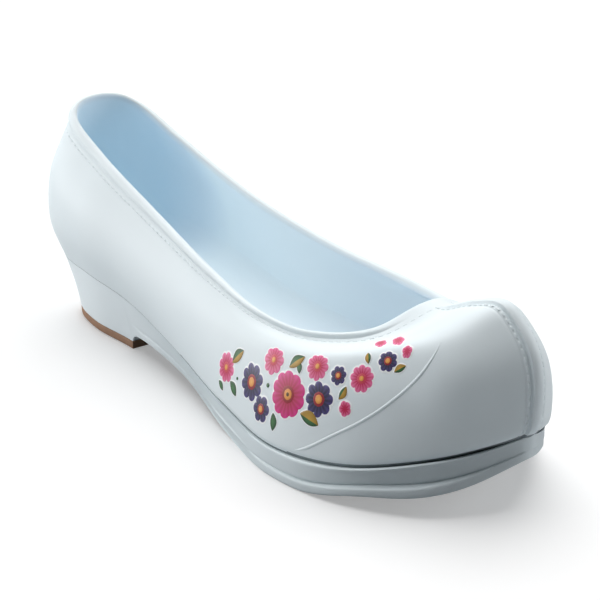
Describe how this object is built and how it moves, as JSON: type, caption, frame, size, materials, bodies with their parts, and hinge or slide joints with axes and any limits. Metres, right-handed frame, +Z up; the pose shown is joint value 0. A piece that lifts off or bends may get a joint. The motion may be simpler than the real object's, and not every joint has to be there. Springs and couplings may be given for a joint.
{
  "type": "rubber slip-on shoe",
  "caption": "Women's moulded rubber slip-on shoe for the right foot, low-cut with a rolled rim, upturned prow toe with centre piping, stepped welt sole and low wedge heel.",
  "frame": {"origin": "on the floor under the middle of the shoe's bounding box", "axes": "+X from heel to toe, +Y to the inner (medial) side of the foot, +Z up"},
  "size_m": [0.2557, 0.0901, 0.0802],
  "materials": {
    "upper": "satin moulded pale blue-white rubber",
    "sole": "satin moulded pale blue-white rubber",
    "heel_tap": "matte tan rubber",
    "insole": "matte light blue footbed"
  },
  "bodies": {
    "root": {"upper": "upper", "sole": "sole", "heel_tap": "heel_tap", "insole": "insole"}
  },
  "joints": []
}
